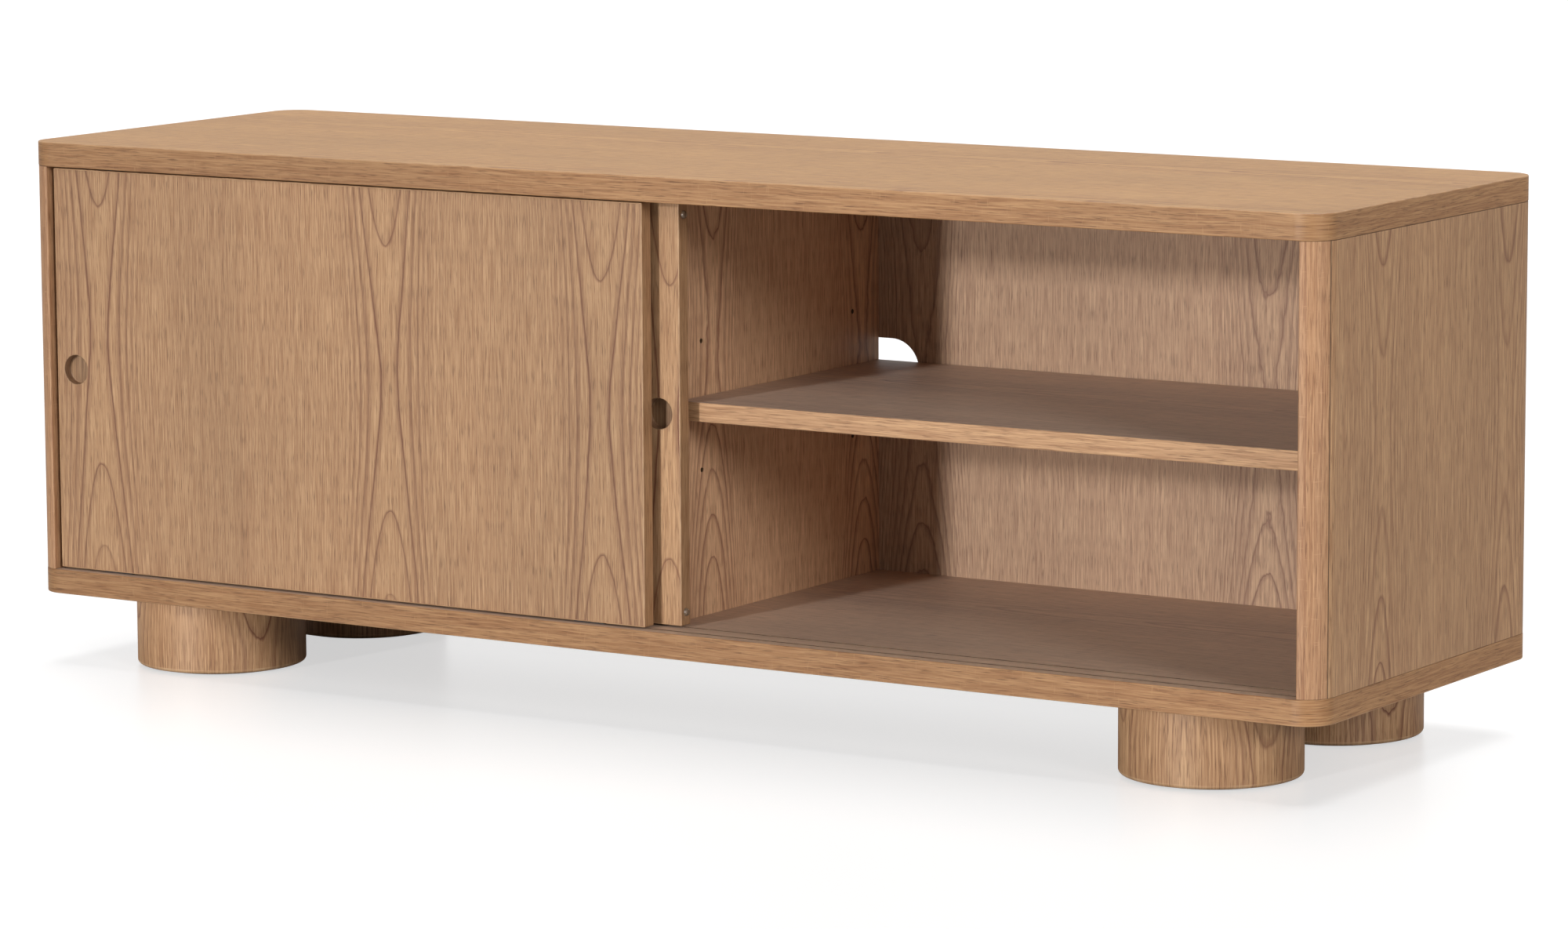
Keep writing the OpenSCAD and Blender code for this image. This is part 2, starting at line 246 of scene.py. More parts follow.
def bore_for(cutters, node, axis, inside, past=0.0):
    """Bores a board for every round solid of a node that reaches into the board's box. The bore
    has a little room all round, and goes past the solid's ends when the solid is cut flush."""
    spare = 0.1 * MM
    low_in, high_in = inside
    k = "xyz".index(axis)
    for low, high in solids(node):
        if any(high[i] <= low_in[i] or low[i] >= high_in[i] for i in range(3)):
            continue
        across = (k + 1) % 3
        length = high[k] - low[k] + 2 * spare + 2 * past
        radius = (high[across] - low[across]) / 2 + spare
        bore_cutter(cutters, (low + high) / 2, axis, radius, length)


def finished(piece, body, node, slot, *materials):
    """Dresses a piece, smooths its rounded edges and lets it stand for its CAD node."""
    for material in materials:
        piece.data.materials.append(material)
    piece.data.shade_smooth()
    piece.data.set_sharp_from_angle(angle=math.radians(40))
    even = piece.modifiers.new("even_shading", "WEIGHTED_NORMAL")
    even.keep_sharp = True
    even.weight = 100
    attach(piece, body)
    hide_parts(node)
    return piece


class Finish:
    """One finish, mixed from shader nodes. Values are numbers or the outputs of other nodes."""

    def __init__(self, name):
        self.material = bpy.data.materials.new(name)
        self.material.use_nodes = True
        self.tree = self.material.node_tree
        self.shader = self.tree.nodes["Principled BSDF"]

    def add(self, kind, values, output=0, **settings):
        """The output of a new node of a kind, with its inputs and settings filled in."""
        made = self.tree.nodes.new("ShaderNode" + kind)
        for key, value in settings.items():
            setattr(made, key, value)
        for key, value in values.items():
            self.give(made.inputs[key], value)
        return made.outputs[output]

    def give(self, socket, value):
        if isinstance(value, bpy.types.NodeSocket):
            self.tree.links.new(value, socket)
        else:
            socket.default_value = value

    def show(self, **values):
        """Gives the shader its values: Base_Color=..., Roughness=... and so on."""
        for key, value in values.items():
            self.give(self.shader.inputs[key.replace("_", " ")], value)

    def math(self, operation, a, b=0.0):
        return self.add("Math", {0: a, 1: b}, operation=operation)

    def sum(self, a, b):
        return self.math("ADD", a, b)

    def times(self, a, b):
        return self.math("MULTIPLY", a, b)

    def scaled(self, value, low, high, to_low=0.0, to_high=1.0):
        ends = {"From Min": low, "From Max": high, "To Min": to_low, "To Max": to_high}
        return self.add("MapRange", {"Value": value, **ends})

    def noise(self, x, y, seed, detail=2.0):
        """Smooth noise from 0 to 1 at a point that is given in cells."""
        point = self.add("CombineXYZ", {"X": x, "Y": y, "Z": seed})
        return self.add("TexNoise", {"Vector": point, "Scale": 1.0, "Detail": detail})

    def sway(self, x, y, seed, reach, detail=2.0):
        """Smooth noise centred on zero, with the given reach."""
        return self.times(self.sum(self.noise(x, y, seed, detail), -0.5), reach)

    def chance(self, value):
        """A random number from 0 to 1 that stays the same for equal values."""
        return self.add("TexWhiteNoise", {"W": value}, noise_dimensions="1D")

    def blend(self, share, a, b):
        made = self.tree.nodes.new("ShaderNodeMix")
        made.data_type = "RGBA"
        self.give(made.inputs["Factor"], share)
        self.give(made.inputs["A"], a)
        self.give(made.inputs["B"], b)
        return made.outputs["Result"]


def stain(red, green, blue):
    """A colour as a paint card gives it, 0 to 255, turned into light."""
    shares = [c / 255 for c in (red, green, blue)]
    return (*[((c + 0.055) / 1.055) ** 2.4 for c in shares], 1)


def year_lines(
    mix, seed, in_leaf, leaf_number, along, heart=0.18, depth=40 * MM, slope=0.0, belly=0.28,
    middle=0.32, ring=4.6 * MM, uneven=0.7, waver=1.0,
):
    """How dark the year lines are on a leaf cut across a log, and how far off the heart it is.
    The heart lies at one place across the leaf. The cut passes depth in front of it at the
    middle of the length, and nearer further out, as belly and slope say. A ring is ring wide
    at 40 mm from the log's centre, give or take uneven, and waver is how much its line wavers."""
    young = 40 * MM
    turned_leaf_shift = 21 * MM
    bend = mix.sway(mix.times(along, 2.6), 0.0, seed, 16 * MM)
    off_heart = mix.sum(in_leaf, mix.sum(bend, -heart))
    rise = mix.sum(along, mix.sum(mix.times(leaf_number, turned_leaf_shift), -middle))
    bow = mix.times(mix.times(rise, rise), -belly)
    tilt = mix.sum(mix.times(rise, slope), mix.sway(mix.times(along, 5.0), leaf_number, seed, 2 * MM))
    cut_depth = mix.sum(mix.sum(bow, tilt), depth)
    squares = mix.sum(mix.times(off_heart, off_heart), mix.times(cut_depth, cut_depth))
    coarse = mix.sway(mix.times(in_leaf, 16), mix.times(along, 7), seed + 3, 1.8 * MM * waver)
    fine = mix.sway(mix.times(in_leaf, 110), mix.times(along, 40), seed + 5, 0.7 * MM * waver)
    radius = mix.sum(mix.math("SQRT", squares), mix.sum(coarse, fine))
    radius = mix.sum(radius, mix.sway(mix.times(radius, 55), 0.0, seed + 7, ring * uneven, 3.0))
    # Rings get narrower outward, so that years grow with the square of the radius
    years = mix.times(mix.times(radius, radius), 1 / (2 * ring * young))
    season = mix.math("FRACT", years)
    strong = mix.chance(mix.sum(mix.math("FLOOR", years), seed))
    # A year's spread on the face, from how steeply the cut crosses the rings
    flat = mix.times(cut_depth, 0.10)
    slant = mix.math("SQRT", mix.sum(mix.times(off_heart, off_heart), mix.times(flat, flat)))
    spread = mix.math("DIVIDE", ring * young, slant)
    # Open spring pores after each line, and dense summer wood that darkens towards the next
    pore_band = mix.math("MINIMUM", mix.times(spread, 0.35), 2.6 * MM)
    dense_band = mix.math("MINIMUM", mix.times(spread, 0.50), 6.0 * MM)
    past_line = mix.math("DIVIDE", mix.times(season, spread), pore_band)
    until_next = mix.times(mix.sum(1.0, mix.times(season, -1.0)), spread)
    to_line = mix.math("DIVIDE", until_next, dense_band)
    early = mix.scaled(past_line, 0.25, 1.0, 1.0, 0.0)
    late = mix.scaled(to_line, 0.0, 1.0, 0.60, 0.0)
    near_heart = mix.scaled(mix.math("ABSOLUTE", off_heart), 15 * MM, 65 * MM, 1.0, 0.38)
    strength = mix.times(mix.scaled(strong, 0, 1, 0.42, 1.05), near_heart)
    return mix.times(mix.sum(early, late), strength), off_heart


def oak(
    name, seed, leaf=9.0, joint=0.0, figure=1.0, flecks=0.0, tone=1.0, drift=0.0, warm=0.0,
    grey=0.0, haze=0.0, **log
):
    """Matt lacquered oak. The veneer is laid in leaves of one width from a joint, each turned over
    from the last, and log says how they were cut. Figure is the strength of the year lines and
    flecks that of the pale rays. Drift makes a strip paler along its first metre and a half."""
    mix = Finish(name)
    grain = mix.add("UVMap", {}, uv_map="grain")
    across = mix.add("SeparateXYZ", {"Vector": grain}, "X")
    along = mix.add("SeparateXYZ", {"Vector": grain}, "Y")
    from_joint = mix.sum(across, -joint)
    in_leaf = mix.math("PINGPONG", from_joint, leaf)
    leaf_number = mix.math("FLOOR", mix.times(from_joint, 1 / leaf))
    line, off_heart = year_lines(mix, seed, in_leaf, leaf_number, along, **log)
    run = mix.sum(along, mix.times(off_heart, 0.03))
    skew = mix.sway(mix.times(along, 9), mix.times(in_leaf, 9), seed, 4 * MM)
    skewed = mix.sum(in_leaf, skew)

    def drawn_out(per_metre_across, per_metre_along, own, detail):
        """Noise whose cells are drawn out along the grain."""
        x = mix.times(skewed, per_metre_across)
        return mix.noise(x, mix.times(run, per_metre_along), seed + own, detail)

    broad = drawn_out(190, 3, 11, 3.0)
    streak = drawn_out(760, 22, 13, 3.0)
    pore = mix.scaled(drawn_out(1100, 52, 17, 2.0), 0.54, 0.70)
    cloud = mix.noise(mix.times(across, 7), mix.times(along, 3), seed + 19, 2.0)
    # Colours
    pale = stain(199, 159, 118)
    body = stain(164, 123, 87)
    brown = stain(140, 95, 65)
    summer_wood = stain(112, 66, 46)
    dark_pore = stain(92, 58, 37)
    worn_and_highlit = stain(214, 178, 140)
    ground = mix.blend(mix.scaled(streak, 0.34, 0.66), body, pale)
    ground = mix.blend(mix.scaled(broad, 0.42, 0.72, 0.0, 0.26), ground, brown)
    ground = mix.blend(mix.times(line, 0.90 * figure), ground, summer_wood)
    ground = mix.blend(mix.times(pore, 0.58), ground, dark_pore)
    if flecks:
        ray = mix.noise(mix.times(across, 75), mix.times(along, 420), seed + 23, 1.0)
        ground = mix.blend(mix.scaled(ray, 0.66, 0.80, 0.0, flecks), ground, pale)
    # Worn rims are rubbed a little paler and smoother, in patches; the paleness is partly wear and
    # partly a painted highlight along the arris
    rim = mix.add("SeparateXYZ", {"Vector": mix.add("UVMap", {}, uv_map="rubbed")}, "X")
    patchy = mix.noise(mix.times(across, 60), mix.times(along, 60), seed + 29, 2.0)
    rubbed = mix.times(rim, mix.scaled(patchy, 0.35, 0.65, 0.15, 0.55))
    ground = mix.blend(rubbed, ground, worn_and_highlit)
    # Each leaf has its own tone, with slow clouds in it
    leaf_tone = mix.scaled(mix.chance(mix.sum(leaf_number, seed + 0.5)), 0, 1, -0.03, 0.03)
    level = mix.sum(leaf_tone, mix.scaled(cloud, 0.3, 0.7, -0.06, 0.06))
    if drift:
        drift_length = 1.5
        level = mix.sum(level, mix.scaled(along, 0.0, drift_length, -drift, drift))
    level = mix.times(mix.sum(level, 1.0), tone)
    shade = {"Hue": 0.5 - 0.006 * warm, "Saturation": 1.0 - grey}
    lacquer = mix.sum(mix.scaled(streak, 0.3, 0.7, 0.44, 0.54), mix.times(rubbed, -0.15))
    relief = mix.sum(mix.times(pore, -1.0), mix.times(streak, 0.35))
    mix.show(
        Base_Color=mix.add("HueSaturation", {"Color": ground, "Value": level, **shade}),
        Roughness=lacquer,
        Normal=mix.add("Bump", {"Height": relief, "Strength": 0.25, "Distance": 0.15 * MM}),
        Specular_IOR_Level=0.42,
        Sheen_Weight=haze,
        Sheen_Roughness=0.6,
    )
    return mix.material


# The board's dark core, shown on cut faces; on the eased joint edges of posts and sides it is a painted
# shadow line
core_and_seam_shade = oak("core_and_seam_shade", seed=3.1, heart=-0.06, figure=0.5, tone=0.32)
# The lipping is darker than the veneer, as painted shade on the upright edges of the slabs
slab_lipping = oak(
    "slab_lipping", seed=8.4, heart=-0.035, depth=0.02, belly=0.0, figure=0.7, flecks=0.35,
    tone=0.755, drift=0.10, warm=0.5, grey=-0.10,
)


def slab(name, worn_and_highlit):
    """Top or bottom panel, with the body's four round corners."""
    low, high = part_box(name)
    r = corner_radius
    outline = rounded([
        (low.x, low.y, r), (high.x, low.y, r), (high.x, high.y, r), (low.x, high.y, r)
    ])
    made = board(name.replace("panel", "board"), outline, "z", low.z, high.z, "x", worn_and_highlit=(worn_and_highlit,))
    return made, low, high


def back_panel_groove(cutters, z_low, z_high):
    """Room for the back panel between two heights, with a little slack at its edges."""
    low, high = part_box("back_panel")
    slack = Vector((0.2 * MM, 0.1 * MM, 0))
    low_corner = Vector((low.x, low.y, z_low)) - slack
    high_corner = Vector((high.x, high.y, z_high)) + slack
    box_cutter(cutters, low_corner, high_corner)


def groove_cutters(cutters, z_low, z_high):
    """The two door grooves and the back panel's groove, open on one side of a slab."""
    groove_half = 2 * MM
    beside_shelf = 0.75 * MM
    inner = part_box("left_shelf")[0].x - beside_shelf
    for door in ("front_door", "rear_door"):
        low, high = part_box(door)
        middle = (low.y + high.y) / 2
        box_cutter(cutters, (inner, middle - groove_half, z_low), (-inner, middle + groove_half, z_high))
    back_panel_groove(cutters, z_low, z_high)


groove_depth = 6 * MM
clear_of = 1 * MM
bottom_board, bottom_low, bottom_high = slab("bottom_panel", "low")
inside = (bottom_low, bottom_high)
cutters = bmesh.new()
groove_cutters(cutters, bottom_high.z - groove_depth, bottom_high.z + clear_of)
bore_for(cutters, "bottom_dowels", "z", inside)
bore_for(cutters, "bottom_cam_bolts", "z", inside)
bore_for(cutters, "foot_insert_nuts", "z", inside, past=0.5 * MM)
bore_for(cutters, "foot_dowels", "z", inside)
machined(bottom_board, cutters, "x")
# Paler and greyer than the outside veneers, as painted fill light and a painted grey reflection in the
# bay
bottom_veneer = oak(
    "bottom_veneer", seed=21.0, leaf=0.30, joint=-0.10, heart=0.17, depth=0.05, slope=-0.020,
    belly=0.008, middle=0.1, tone=1.14, grey=0.12, haze=0.08,
)
finished(bottom_board, "carcass", "bottom_panel", "oak_veneer", bottom_veneer, slab_lipping, core_and_seam_shade)

# ---------------------------------------------------------------------------------------------
# Feet: four oak drums, veneered round with upright grain, with the lower edge rounded over. Each
# is bored for one bolt from below and a dowel that stops it turning, and stands on a felt disc.


def turned(name, profile, centre, segments=128):
    """Closed ring turned about an upright line. The profile is a closed loop of (radius, height)."""
    made = bmesh.new()
    grain = made.loops.layers.uv.new("grain")
    rubbed = made.loops.layers.uv.new("rubbed")
    rings = []
    for k in range(segments):
        angle = 2 * math.pi * k / segments
        spoke = Vector((math.cos(angle), math.sin(angle), 0))
        rings.append([made.verts.new(centre + spoke * r + Vector((0, 0, h))) for r, h in profile])
    outer = max(r for r, _ in profile)
    for k in range(segments):
        for i in range(len(profile)):
            j = (i + 1) % len(profile)
            following = (k + 1) % segments
            corners = [(k, i, k), (following, i, k + 1), (following, j, k + 1), (k, j, k)]
            face = made.faces.new([rings[r][v] for r, v, _ in corners])
            face.normal_update()
            on_rim = min(profile[i][0], profile[j][0]) > outer - 1.25 * foot_round
            face.material_index = 0 if on_rim else 1
            for corner, (_, v, turn) in zip(face.loops, corners):
                round_it = 2 * math.pi * outer * turn / segments
                corner[grain].uv = (round_it, profile[v][1])
                # The drum's lower rim is marked for the paler rim finish, partly wear and partly a
                # painted highlight
                corner[rubbed].uv = (1 if on_rim and abs(face.normal.z) > 0.1 else 0, 0)
    return as_object(name, made)


foot_round = 4 * MM
foot_arris = 0.5 * MM
bolt_radius = 4.5 * MM
head_radius = 10 * MM
head_height = 8 * MM


def drum_profile(outer, low, high, seat):
    """Half section of a drum: stepped bolt hole inside, rounded lower and upper edges outside."""
    profile = [(bolt_radius, high), (bolt_radius, seat), (head_radius, seat), (head_radius, low)]
    for k in range(7):
        turn = k / 6 * math.pi / 2
        inset = foot_round * (1 - math.sin(turn))
        profile.append((outer - inset, low + foot_round * (1 - math.cos(turn))))
    for k in range(4):
        turn = k / 3 * math.pi / 2
        inset = foot_arris * (1 - math.cos(turn))
        profile.append((outer - inset, high - foot_arris * (1 - math.sin(turn))))
    return profile[::-1]


foot_core = oak("foot_core", seed=5.5, heart=-0.05, figure=0.6, tone=0.85)
foot_seeds = {"front_left": 31.0, "front_right": 37.5, "rear_left": 41.2, "rear_right": 47.9}
bolts = solids("foot_bolts")
for place, seed in foot_seeds.items():
    node = place + "_foot"
    low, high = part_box(node)
    centre = Vector(((low.x + high.x) / 2, (low.y + high.y) / 2, 0))
    bolt_low, _ = min(bolts, key=lambda b: ((b[0] + b[1]) / 2 - centre).xy.length)
    profile = drum_profile((high.x - low.x) / 2, low.z, high.z, bolt_low.z + head_height)
    foot = turned(place + "_drum", profile, centre)
    cutters = bmesh.new()
    bore_for(cutters, "foot_dowels", "z", (low, high))
    machined(foot, cutters, "z")
    for face in foot.data.polygons:
        face.material_index = min(face.material_index, 1)
    drum_veneer = oak(
        place + "_drum_veneer", seed=seed, leaf=0.19, joint=0.05, heart=0.08, depth=0.05,
        belly=1.2, middle=0.05, ring=5 * MM, waver=1.4,
    )
    finished(foot, "carcass", node, "oak_veneer", drum_veneer, foot_core)

# ---------------------------------------------------------------------------------------------
# Side panels and posts: each side is an upright-grain board between two solid oak posts, which
# carry the round corners. A tongue on the post is glued into a groove in the board's edge.

side_low, side_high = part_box("right_side_panel")
post_low, post_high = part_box("front_right_post")
half_width = side_high.x
half_depth = -post_low.y
seam_ease = 0.6 * MM
seam_y = side_high.y
tongue_y = -post_high.y
tongue_half = 4 * MM
seam_turn = -math.asin((seam_y - (half_depth - corner_radius)) / corner_radius)
seam_gap_turn = 0.02
tongue_middle = (side_low.x + half_width) / 2


def corner_arc(start, end, steps):
    """Points on the round corner at the right front, between two angles from the X axis."""
    centre = Vector((half_width - corner_radius, -half_depth + corner_radius))
    turns = [start + (end - start) * k / steps for k in range(steps + 1)]
    return [centre + corner_radius * Vector((math.cos(t), math.sin(t))) for t in turns]


def post_outline():
    """Plan of the front right post, from its inner front corner and round to its tongue."""
    inner = side_low.x
    hub = half_width - corner_radius
    arc = corner_arc(-math.acos((inner + 2.2 * MM - hub) / corner_radius), seam_turn, 18)
    corner_y = corner_radius - half_depth - math.sqrt(corner_radius ** 2 - (inner - hub) ** 2)
    # Only the five points of the rounded inner corner are kept, and the arc follows them
    inner_corner = rounded([(inner, corner_y, 1.5 * MM), (*arc[0], 0), (inner, -seam_y, 0)])[:5]
    points = inner_corner + arc
    at_seam = points[-1].x
    points[-1] = corner_arc(seam_turn - seam_gap_turn, seam_turn, 1)[0]
    left = tongue_middle - tongue_half
    right = tongue_middle + tongue_half
    tongue = [
        (at_seam - seam_ease, -seam_y), (right, -seam_y), (right, -tongue_y), (left, -tongue_y),
        (left, -seam_y), (inner + seam_ease, -seam_y), (inner, -seam_y - seam_ease),
    ]
    return points + [Vector(point) for point in tongue]


def side_outline():
    """Plan of the right side panel: the last of each round corner, and the two tongue grooves."""
    inner = side_low.x
    slack = 0.1 * MM
    groove_y = seam_y - 6.4 * MM
    arc = corner_arc(seam_turn + seam_gap_turn, 0, 5)
    left = tongue_middle - tongue_half - slack
    right = tongue_middle + tongue_half + slack
    groove = [
        (inner, -seam_y + seam_ease), (inner + seam_ease, -seam_y), (left, -seam_y), (left, -groove_y),
        (right, -groove_y), (right, -seam_y), (arc[0].x - 1.2 * seam_ease, -seam_y),
    ]
    front = [Vector(point) for point in groove] + arc
    rear = [Vector((p.x, -p.y)) for p in reversed(front)]
    return front + rear


def mirrored(points, flip_x, flip_y):
    """The outline turned over left to right, front to back, or both, still anticlockwise."""
    made = [Vector((-p.x if flip_x else p.x, -p.y if flip_y else p.y)) for p in points]
    return made[::-1] if flip_x != flip_y else made


post_seeds = {
    ("front", "left"): 51.0, ("front", "right"): 53.0, ("rear", "left"): 57.0, ("rear", "right"): 59.0,
}
for (end, hand), seed in post_seeds.items():
    node = f"{end}_{hand}_post"
    outline = mirrored(post_outline(), hand == "left", end == "rear")
    post = board(f"{end}_{hand}_corner", outline, "z", post_low.z, post_high.z, "z", ease=0.5 * MM)
    if end == "rear":
        cutters = bmesh.new()
        low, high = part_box("back_panel")
        back_panel_groove(cutters, low.z - 1, high.z)
        machined(post, cutters, "z")
    solid_oak = oak(
        f"{end}_{hand}_solid", seed=seed, heart=-0.02, depth=0.05, belly=0.0, waver=1.6,
        figure=0.45, flecks=0.5, tone=0.93, warm=0.9, grey=-0.02,
    )
    # The eased joint edges take the dark core finish, as a painted shadow line along the joint
    towards_side = 1 if end == "front" else -1
    for face in post.data.polygons:
        if abs(face.normal.z) > 0.3 or face.normal.y * towards_side > 0.5:
            face.material_index = CORE_OR_SHADE
    finished(post, "carcass", node, "solid_oak", solid_oak, solid_oak, core_and_seam_shade)

pin_step = 64 * MM
pin_hole_depth = 10 * MM
shelf_pins = {hand: solids(hand + "_shelf_pins") for hand in ("left", "right")}


def pin_bores(cutters, face_x, inward, pins):
    """Rows of three pin holes, one above the other, bored into the face at face_x."""
    for low, high in pins:
        if min(abs(low.x - face_x), abs(high.x - face_x)) > pin_hole_depth:
            continue
        middle = (low + high) / 2
        radius = (high.y - low.y) / 2 + 0.05 * MM
        for k in (-1, 0, 1):
            x = face_x + inward * (pin_hole_depth - clear_of) / 2
            centre = (x, middle.y, middle.z + k * pin_step)
            bore_cutter(cutters, centre, "x", radius, pin_hole_depth + clear_of)


def fitting_bores(cutters, inside):
    """Bores in both ends of an upright for its dowels, cam bolts and cam locks."""
    cam_bolt_bore = 4 * MM
    for end in ("top", "bottom"):
        bore_for(cutters, end + "_dowels", "z", inside, past=0.5 * MM)
        for low, high in solids(end + "_cam_bolts"):
            middle = (low + high) / 2
            if inside[0].x < middle.x < inside[1].x:
                bore_cutter(cutters, middle, "z", cam_bolt_bore, high.z - low.z)
        bore_for(cutters, end + "_cam_locks", "x", inside)


for hand, turned_over, seed in (("left", True, 61.0), ("right", False, 67.3)):
    node = hand + "_side_panel"
    low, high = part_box(node)
    outline = mirrored(side_outline(), turned_over, False)
    side = board(hand + "_side_board", outline, "z", low.z, high.z, "z", ease=seam_ease)
    # The eased ends and the joint edges take the dark core finish, as a painted shadow line along the
    # joints
    laid_flat(
        side, "z", lambda normal: CORE_OR_SHADE if abs(normal.z) > 0.3 or abs(normal.y) > 0.5 else FACE
    )
    cutters = bmesh.new()
    inner_face = high.x if turned_over else low.x
    pin_bores(cutters, inner_face, -1 if turned_over else 1, shelf_pins[hand])
    fitting_bores(cutters, (low, high))
    machined(side, cutters, "z")
    side_veneer = oak(
        hand + "_side_veneer", seed=seed, leaf=0.30, joint=0.0275, heart=0.1305, depth=0.040,
        belly=0.30, middle=0.31, waver=1.1,
    )
    finished(side, "carcass", node, "oak_veneer", side_veneer, slab_lipping, core_and_seam_shade)

# ---------------------------------------------------------------------------------------------
# Divider: an upright board between the two bays, lipped on its front edge. The cam locks are let
# into its left face, and both faces have three rows of shelf pin holes.

low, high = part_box("centre_divider")
inside = (low, high)
outline = rounded([
    (low.x, low.y, 1.1 * MM), (high.x, low.y, 1.1 * MM), (high.x, high.y, 0), (low.x, high.y, 0)
])
divider = board("divider_board", outline, "z", low.z, high.z, "z", ease=0.3 * MM)
laid_flat(divider, "z", lambda normal: FACE if abs(normal.x) > 0.5 else LIPPING)
cutters = bmesh.new()
pin_bores(cutters, low.x, 1, shelf_pins["left"])
pin_bores(cutters, high.x, -1, shelf_pins["right"])
fitting_bores(cutters, inside)
pilot_radius = 1.8 * MM
for screw_low, screw_high in solids("back_panel_screws"):
    tip = (screw_low.y + high.y) / 2
    middle = (screw_low + screw_high) / 2
    bore_cutter(cutters, (middle.x, tip, middle.z), "y", pilot_radius, high.y - screw_low.y + clear_of)
machined(divider, cutters, "z")
# Much paler than the doors, as painted fill light in the shaded bay, and greyer as a painted reflection
divider_veneer = oak(
    "divider_veneer", seed=73.0, leaf=0.28, joint=0.04, heart=0.14, depth=0.042, belly=0.45,
    middle=0.36, waver=2.2, tone=1.40, grey=0.10,
)
finished(divider, "carcass", "centre_divider", "oak_veneer", divider_veneer, divider_veneer, core_and_seam_shade)

# ---------------------------------------------------------------------------------------------
# Back panel: one thin board veneered with upright grain, held in grooves all round and screwed
# to the divider. A slot with round ends lets the cables out of both bays.

low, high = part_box("back_panel")
outline = rounded([(low.x, low.z, 0), (high.x, low.z, 0), (high.x, high.z, 0), (low.x, high.z, 0)])
back_board = board("back_board", outline, "y", low.y, high.y, "z", ease=0.2 * MM)
slot_radius = 32 * MM
slot_half = 29 * MM
screw_hole_radius = 2.1 * MM
through = 10 * MM
slot_middle = Vector((0, (low.y + high.y) / 2, (low.z + high.z) / 2))
cutters = bmesh.new()
turns = [math.pi * (k / 32 - 0.5) for k in range(33)]
right_end = [(slot_half + slot_radius * math.cos(t), slot_radius * math.sin(t)) for t in turns]
slot_outline = right_end + [(-x, -z) for x, z in right_end]
sides = []
for reach in (-through, through):
    sides.append([cutters.verts.new(slot_middle + Vector((x, reach, z))) for x, z in slot_outline])
for k in range(len(slot_outline)):
    j = (k + 1) % len(slot_outline)
    cutters.faces.new((sides[0][k], sides[0][j], sides[1][j], sides[1][k]))
cutters.faces.new(sides[0][::-1])
cutters.faces.new(sides[1])
bmesh.ops.recalc_face_normals(cutters, faces=cutters.faces[:])
for screw_low, screw_high in solids("back_panel_screws"):
    middle = (screw_low + screw_high) / 2
    bore_cutter(cutters, (middle.x, slot_middle.y, middle.z), "y", screw_hole_radius, 2 * through)
machined(back_board, cutters, "z")
# Paler and greyer than the outside veneers, as painted fill light and a painted grey reflection in the
# bay
back_veneer = oak(
    "back_veneer", seed=83.0, leaf=0.32, joint=0.265, heart=0.200, depth=0.042, belly=0.30,
    middle=0.30, waver=2.8, tone=1.06, grey=0.14,
)
finished(back_board, "carcass", "back_panel", "oak_veneer", back_veneer, core_and_seam_shade, core_and_seam_shade)

# ---------------------------------------------------------------------------------------------
# Top panel: the same veneered and lipped board as the bottom panel, with its grain along the
# width, turned over so that the door grooves face down.

top_board, top_low, top_high = slab("top_panel", "high")
inside = (top_low, top_high)
cutters = bmesh.new()
groove_cutters(cutters, top_low.z - clear_of, top_low.z + groove_depth)
bore_for(cutters, "top_dowels", "z", inside)
bore_for(cutters, "top_cam_bolts", "z", inside)
machined(top_board, cutters, "x")
top_veneer = oak(
    "top_veneer", seed=91.0, leaf=0.30, joint=-0.06, heart=0.16, depth=0.040, slope=-0.022,
    belly=0.010, middle=0.0, tone=0.96, warm=-0.6, grey=-0.13,
)
finished(top_board, "carcass", "top_panel", "oak_veneer", top_veneer, slab_lipping, core_and_seam_shade)

# ---------------------------------------------------------------------------------------------
# Shelves: one 19 mm board in each bay, grain along the width and lipped in front. Slots in the
# ends drop over four steel pins, so the pins can't be seen.

shelf_lipping = oak(
    "shelf_lipping", seed=12.7, heart=-0.04, depth=0.02, belly=0.0, figure=0.8, tone=1.12
)
for hand, seed in (("left", 101.0), ("right", 107.0)):
    node = hand + "_shelf"
    low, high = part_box(node)
    r = 1.1 * MM
    outline = rounded([(low.y, low.z, r), (high.y, low.z, 0), (high.y, high.z, 0), (low.y, high.z, r)])
    shelf = board(hand + "_shelf_board", outline, "x", low.x, high.x, "x", ease=0.3 * MM)
    laid_flat(shelf, "x", lambda normal: LIPPING if abs(normal.z) < 0.8 else FACE)
    cutters = bmesh.new()
    for pin_low, pin_high in shelf_pins[hand]:
        slack = 0.55 * MM
        box_cutter(
            cutters, (pin_low.x - slack, pin_low.y - slack, low.z - 1 * MM),
            (pin_high.x + 2 * MM, pin_high.y + slack, pin_high.z),
        )
    machined(shelf, cutters, "x")
    # Paler and greyer than the outside veneers, as painted fill light and a painted grey reflection in
    # the bay
    shelf_veneer = oak(
        hand + "_shelf_veneer", seed=seed, leaf=0.26, joint=-0.05, heart=0.12, depth=0.05,
        slope=-0.02, belly=0.02, middle=0.0, tone=1.10, grey=0.14, haze=0.08,
    )
    finished(shelf, "carcass", node, "oak_veneer", shelf_veneer, shelf_lipping, core_and_seam_shade)

# ---------------------------------------------------------------------------------------------
# Doors: two 16 mm boards veneered with upright grain, each with a round blind finger pull. They
# slide past each other on nylon glides, with clear bumpers on their outer edges.

pull_radius = 15 * MM
pull_depth = 9 * MM
pull_lip = 0.8 * MM
pull_floor_round = 1.2 * MM
pull_from_edge = 24.5 * MM


